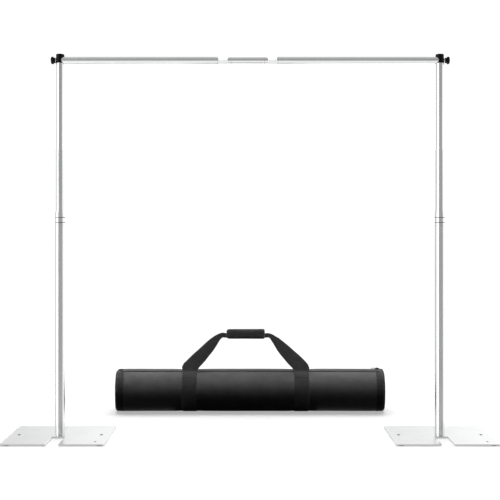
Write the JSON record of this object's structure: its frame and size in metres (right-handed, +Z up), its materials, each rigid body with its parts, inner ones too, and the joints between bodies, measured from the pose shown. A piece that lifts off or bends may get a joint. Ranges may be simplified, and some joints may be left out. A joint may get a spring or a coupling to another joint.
{
  "type": "background support system",
  "caption": "Free-standing background support: telescoping uprights on flat split base plates, a telescoping crossbar held by side knobs, and a zipped carry bag with webbing handles.",
  "frame": {"origin": "on the floor, under the middle of everything that stands on it: midway between the two poles, and midway between the front edge of the base plates and the back of the carry bag", "axes": "+X along the crossbar to the right as seen from the front, +Y from the stand back to the carry bag, +Z up"},
  "size_m": [1.92, 0.7352, 1.532],
  "materials": {
    "steel_plate": "satin zinc-plated sheet",
    "zinc_steel": "bright zinc",
    "rubber": "matt",
    "aluminium_tube": "satin drawn tube",
    "white_nylon": "moulded nylon",
    "grey_nylon": "moulded nylon",
    "black_plastic": "semi-gloss moulded",
    "bag_fabric": "coated woven polyester",
    "webbing": "woven webbing",
    "zip_metal": "black enamelled die casting"
  },
  "bodies": {
    "left_stand": {"left_outer_plate": "steel_plate", "left_inner_plate": "steel_plate", "left_rubber_pads": "rubber", "left_doubler_strip": "steel_plate", "left_strip_rivets": "zinc_steel", "left_base_bolt": "zinc_steel", "left_pole_socket": "zinc_steel", "left_lower_tube": "aluminium_tube", "left_lock_collet": "grey_nylon", "bag_shell": "bag_fabric", "bag_zip_tape": "webbing", "bag_left_web": "webbing", "bag_right_web": "webbing"},
    "right_stand": {"right_outer_plate": "steel_plate", "right_inner_plate": "steel_plate", "right_rubber_pads": "rubber", "right_doubler_strip": "steel_plate", "right_strip_rivets": "zinc_steel", "right_base_bolt": "zinc_steel", "right_pole_socket": "zinc_steel", "right_lower_tube": "aluminium_tube", "right_lock_collet": "grey_nylon"},
    "left_collar": {"left_lock_collar": "aluminium_tube"},
    "left_middle": {"left_middle_tube": "aluminium_tube", "left_middle_glide": "grey_nylon", "left_mouth_bush": "grey_nylon"},
    "left_upper": {"left_upper_tube": "aluminium_tube", "left_upper_cam": "grey_nylon", "left_top_cap": "black_plastic", "left_knob_washer": "zinc_steel", "left_bar_ferrule": "aluminium_tube", "left_bar_insert": "zinc_steel", "left_bar_tube": "aluminium_tube", "left_bar_bush": "white_nylon"},
    "left_knob_turn": {"left_knob": "black_plastic", "left_knob_stud": "zinc_steel"},
    "right_collar": {"right_lock_collar": "aluminium_tube"},
    "right_middle": {"right_middle_tube": "aluminium_tube", "right_middle_glide": "grey_nylon", "right_mouth_bush": "grey_nylon"},
    "right_upper": {"right_upper_tube": "aluminium_tube", "right_upper_cam": "grey_nylon", "right_top_cap": "black_plastic", "right_knob_washer": "zinc_steel", "right_bar_ferrule": "aluminium_tube", "right_bar_insert": "zinc_steel", "right_bar_tube": "aluminium_tube", "right_bar_bush": "white_nylon"},
    "right_knob_turn": {"right_knob": "black_plastic", "right_knob_stud": "zinc_steel"},
    "bar_slider": {"left_bar_cam": "grey_nylon", "right_bar_cam": "grey_nylon"},
    "bar_centre": {"bar_centre_tube": "aluminium_tube"},
    "zip_slider": {"bag_zip_slider": "zip_metal"},
    "zip_pull": {"bag_zip_pull": "zip_metal"},
    "bag_handle": {"bag_front_handle": "webbing", "bag_back_handle": "webbing", "bag_grip": "webbing"}
  },
  "joints": [
    {"name": "bar_width", "type": "slide", "parent": "left_stand", "child": "right_stand", "axis": [1, 0, 0], "range_m": [-0.15, 0.4]},
    {"name": "left_collar_twist", "type": "hinge", "parent": "left_stand", "child": "left_collar", "pos_m": [-0.76, -0.2176, 0.876], "axis": [0, 0, 1], "range_deg": [0, 120]},
    {"name": "left_middle_slide", "type": "slide", "parent": "left_stand", "child": "left_middle", "axis": [0, 0, 1], "range_m": [-0.236, 0.41]},
    {"name": "left_upper_slide", "type": "slide", "parent": "left_middle", "child": "left_upper", "axis": [0, 0, 1], "range_m": [-0.335, 0.33]},
    {"name": "left_knob_spin", "type": "hinge", "parent": "left_upper", "child": "left_knob_turn", "pos_m": [-0.788, -0.2176, 1.5075], "axis": [1, 0, 0], "continuous": true},
    {"name": "right_collar_twist", "type": "hinge", "parent": "right_stand", "child": "right_collar", "pos_m": [0.76, -0.2176, 0.876], "axis": [0, 0, 1], "range_deg": [0, 120]},
    {"name": "right_middle_slide", "type": "slide", "parent": "right_stand", "child": "right_middle", "axis": [0, 0, 1], "range_m": [-0.236, 0.41]},
    {"name": "right_upper_slide", "type": "slide", "parent": "right_middle", "child": "right_upper", "axis": [0, 0, 1], "range_m": [-0.335, 0.33]},
    {"name": "right_knob_spin", "type": "hinge", "parent": "right_upper", "child": "right_knob_turn", "pos_m": [0.788, -0.2176, 1.5075], "axis": [1, 0, 0], "continuous": true},
    {"name": "bar_centre_slide", "type": "slide", "parent": "left_upper", "child": "bar_slider", "axis": [1, 0, 0], "range_m": [-0.075, 0.2]},
    {"name": "bar_centre_twist", "type": "hinge", "parent": "bar_slider", "child": "bar_centre", "pos_m": [-0.009, -0.2176, 1.5075], "axis": [1, 0, 0], "range_deg": [0, 180]},
    {"name": "zip_run", "type": "slide", "parent": "left_stand", "child": "zip_slider", "axis": [1, 0, 0], "range_m": [-1.15, 0]},
    {"name": "zip_pull_lift", "type": "hinge", "parent": "zip_slider", "child": "zip_pull", "pos_m": [0.583, 0.2714, 0.1944], "axis": [0, 1, 0], "range_deg": [0, 150]},
    {"name": "handle_flop", "type": "hinge", "parent": "left_stand", "child": "bag_handle", "pos_m": [-0.02, 0.2714, 0.188], "axis": [1, 0, 0], "range_deg": [-55, 55]}
  ],
  "couplings": [
    {"joint": "right_middle_slide", "follows": "left_middle_slide", "ratio": 1},
    {"joint": "right_upper_slide", "follows": "left_upper_slide", "ratio": 1},
    {"joint": "bar_centre_slide", "follows": "bar_width", "ratio": 0.5}
  ]
}
